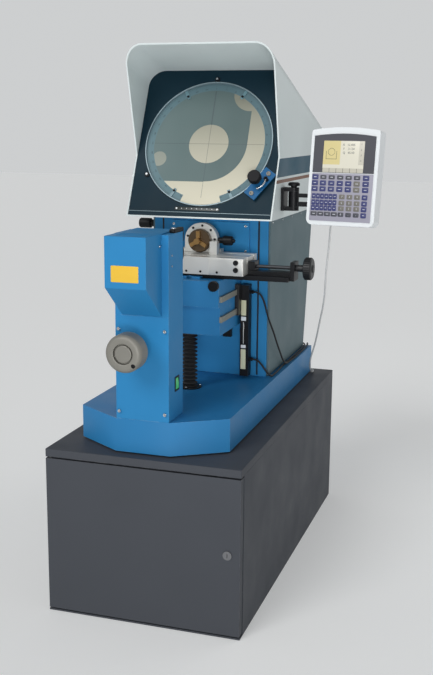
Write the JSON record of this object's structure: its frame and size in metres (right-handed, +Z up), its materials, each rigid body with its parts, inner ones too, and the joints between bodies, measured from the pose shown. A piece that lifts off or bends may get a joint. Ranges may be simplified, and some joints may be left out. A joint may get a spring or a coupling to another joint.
{
  "type": "optical comparator",
  "caption": "Bench profile projector with an inclined round screen under a hood, a lamp column, a cross-slide stage on a knee, a swing-out digital display and a cabinet stand.",
  "frame": {"origin": "on the floor, on the instrument's centre plane, at half the cabinet's depth", "axes": "+Z up, -Y towards the operator, +X to the operator's right"},
  "size_m": [0.7225, 1.133, 1.4075],
  "materials": {
    "blue_casting": "gloss enamel on cast iron",
    "blue_paint": "gloss enamel on sheet steel",
    "grey_paint": "satin grey enamel on sheet steel",
    "panel_grey": "satin grey-green enamel on sheet",
    "white_paint": "fine textured light grey enamel",
    "dark_paint": "dark satin enamel",
    "black_metal": "black oxide or enamel",
    "steel": "ground steel",
    "chrome": "polished plating",
    "aluminium": "turned aluminium",
    "black_plastic": "moulded",
    "rubber": "matt",
    "grey_rubber": "smooth cable jacket",
    "brass": "machined",
    "glass": "clear",
    "screen_glass": "ground on one face",
    "mirror": "front surface silvered",
    "white_plastic": "moulded",
    "grey_film": "printed film",
    "green_plastic": "lit rocker",
    "ceramic": "lamp holder"
  },
  "bodies": {
    "frame": {"cabinet_sides": "grey_paint", "door_jambs": "grey_paint", "cabinet_back": "grey_paint", "cabinet_floor": "grey_paint", "cabinet_top": "grey_paint", "door_pins": "steel", "base_casting": "blue_casting", "base_feet": "rubber", "lamp_column": "blue_paint", "column_cover": "blue_paint", "lamp_house": "blue_paint", "lamp_socket": "ceramic", "lamp_bulb": "glass", "condenser_barrel": "black_metal", "condenser_lens": "glass", "handwheel_bush": "steel", "bellows": "rubber", "guide_rails": "steel", "vertical_scale": "aluminium", "body_shell": "blue_paint", "body_panel": "blue_paint", "body_sides": "panel_grey", "main_mirror": "mirror", "mirror_frame": "aluminium", "head_shell": "white_paint", "screen_panel": "dark_paint", "drive_bracket": "blue_paint", "arm_bracket": "black_metal", "scale_cable_a": "rubber", "scale_cable_b": "rubber", "display_cable": "grey_rubber"},
    "door": {"cabinet_door": "grey_paint"},
    "lock": {"door_lock": "chrome"},
    "switch": {"power_switch": "green_plastic"},
    "handwheel": {"elevation_handwheel": "aluminium"},
    "lift_screw": {"elevation_screw": "steel"},
    "knee": {"knee": "blue_casting", "scale_head": "aluminium"},
    "saddle": {"saddle": "black_metal"},
    "focus": {"focus_knob": "black_plastic"},
    "table": {"work_table": "steel", "nut_block": "black_metal", "fixture_body": "steel"},
    "feed": {"feed_screw": "black_metal"},
    "chuck": {"fixture_chuck": "brass"},
    "fixture_drive": {"fixture_knob": "black_plastic"},
    "lens": {"lens_barrel": "black_metal", "lens_glass": "glass"},
    "lens_drive": {"lens_knob": "black_plastic"},
    "screen": {"screen_ring": "aluminium", "ground_glass": "screen_glass", "chart_clips": "black_metal"},
    "roller_top": {"guide_roller_top": "chrome"},
    "roller_left": {"guide_roller_left": "chrome"},
    "drive": {"drive_knob": "black_plastic"},
    "lever": {"clamp_lever": "chrome"},
    "arm": {"display_arm": "black_metal"},
    "arm_clamp": {"arm_knob": "black_plastic"},
    "display": {"display_housing": "white_plastic", "display_front": "grey_film"}
  },
  "joints": [
    {"name": "door_swing", "type": "hinge", "parent": "frame", "child": "door", "pos_m": [-0.235, -0.51, 0.2], "axis": [0, 0, -1], "range_deg": [0, 110]},
    {"name": "lock_turn", "type": "hinge", "parent": "door", "child": "lock", "pos_m": [0.224, -0.521, 0.2125], "axis": [0, -1, 0], "range_deg": [0, 90]},
    {"name": "switch_rock", "type": "hinge", "parent": "frame", "child": "switch", "pos_m": [0.061, -0.4365, 0.5955], "axis": [0, 1, 0], "range_deg": [0, 8]},
    {"name": "knee_lift", "type": "slide", "parent": "frame", "child": "knee", "axis": [0, 0, 1], "range_m": [-0.085, 0.01], "deforming": ["bellows"]},
    {"name": "handwheel_turn", "type": "hinge", "parent": "frame", "child": "handwheel", "pos_m": [-0.008, -0.4905, 0.692], "axis": [0, -1, 0], "range_deg": [-3070, 370]},
    {"name": "screw_turn", "type": "hinge", "parent": "frame", "child": "lift_screw", "pos_m": [0, -0.154, 0.5115], "axis": [0, 0, 1], "range_deg": [-7660, 910]},
    {"name": "focus_slide", "type": "slide", "parent": "knee", "child": "saddle", "axis": [0, 1, 0], "range_m": [-0.03, 0.005]},
    {"name": "focus_turn", "type": "hinge", "parent": "knee", "child": "focus", "pos_m": [0.082, -0.19, 0.796], "axis": [0, -1, 0], "range_deg": [-5410, 910]},
    {"name": "table_slide", "type": "slide", "parent": "saddle", "child": "table", "axis": [1, 0, 0], "range_m": [-0.095, 0.095]},
    {"name": "feed_turn", "type": "hinge", "parent": "saddle", "child": "feed", "pos_m": [0.28, -0.093, 0.838], "axis": [1, 0, 0], "range_deg": [-6850, 6850]},
    {"name": "chuck_turn", "type": "hinge", "parent": "table", "child": "chuck", "pos_m": [0, -0.06, 0.897], "axis": [0, -1, 0], "continuous": true},
    {"name": "fixture_turn", "type": "hinge", "parent": "table", "child": "fixture_drive", "pos_m": [0.06, -0.052, 0.897], "axis": [1, 0, 0], "continuous": true},
    {"name": "lens_slide", "type": "slide", "parent": "frame", "child": "lens", "axis": [0, 1, 0], "range_m": [-0.006, 0.006]},
    {"name": "lens_turn", "type": "hinge", "parent": "frame", "child": "lens_drive", "pos_m": [-0.19, 0.04, 0.9273], "axis": [1, 0, 0], "range_deg": [-58, 58]},
    {"name": "screen_turn", "type": "hinge", "parent": "frame", "child": "screen", "pos_m": [0, -0.00571, 1.15201], "axis": [0, -0.908, 0.419], "continuous": true},
    {"name": "roller_top_turn", "type": "hinge", "parent": "frame", "child": "roller_top", "pos_m": [0, 0.07256, 1.32162], "axis": [0, -0.908, 0.419], "continuous": true},
    {"name": "roller_left_turn", "type": "hinge", "parent": "frame", "child": "roller_left", "pos_m": [-0.16177, -0.04484, 1.0672], "axis": [0, -0.908, 0.419], "continuous": true},
    {"name": "drive_turn", "type": "hinge", "parent": "frame", "child": "drive", "pos_m": [0.15308, -0.05129, 1.05323], "axis": [0, -0.908, 0.419], "continuous": true},
    {"name": "lever_swing", "type": "hinge", "parent": "frame", "child": "lever", "pos_m": [0.17818, -0.04951, 1.05708], "axis": [0, -0.908, 0.419], "range_deg": [-18, 18]},
    {"name": "arm_swing", "type": "hinge", "parent": "frame", "child": "arm", "pos_m": [0.2335, 0.02, 1.008], "axis": [0, 0, 1], "range_deg": [-40, 60], "deforming": ["display_cable"]},
    {"name": "arm_clamp_turn", "type": "hinge", "parent": "frame", "child": "arm_clamp", "pos_m": [0.2335, 0.02, 1.04], "axis": [0, 0, 1], "range_deg": [0, 180]},
    {"name": "display_tilt", "type": "hinge", "parent": "arm", "child": "display", "pos_m": [0.38662, -0.00659, 1.00807], "axis": [0.9857, -0.1685, 0], "range_deg": [-15, 12]}
  ],
  "couplings": [
    {"joint": "handwheel_turn", "follows": "knee_lift", "rad_per_m": 628.32},
    {"joint": "screw_turn", "follows": "knee_lift", "rad_per_m": 1570.8},
    {"joint": "focus_turn", "follows": "focus_slide", "rad_per_m": 3141.6},
    {"joint": "feed_turn", "follows": "table_slide", "rad_per_m": 1256.6},
    {"joint": "fixture_turn", "follows": "chuck_turn", "ratio": 20},
    {"joint": "lens_turn", "follows": "lens_slide", "rad_per_m": 166.67},
    {"joint": "roller_top_turn", "follows": "screen_turn", "ratio": -25.643},
    {"joint": "roller_left_turn", "follows": "screen_turn", "ratio": -25.643},
    {"joint": "drive_turn", "follows": "screen_turn", "ratio": -22.438}
  ]
}
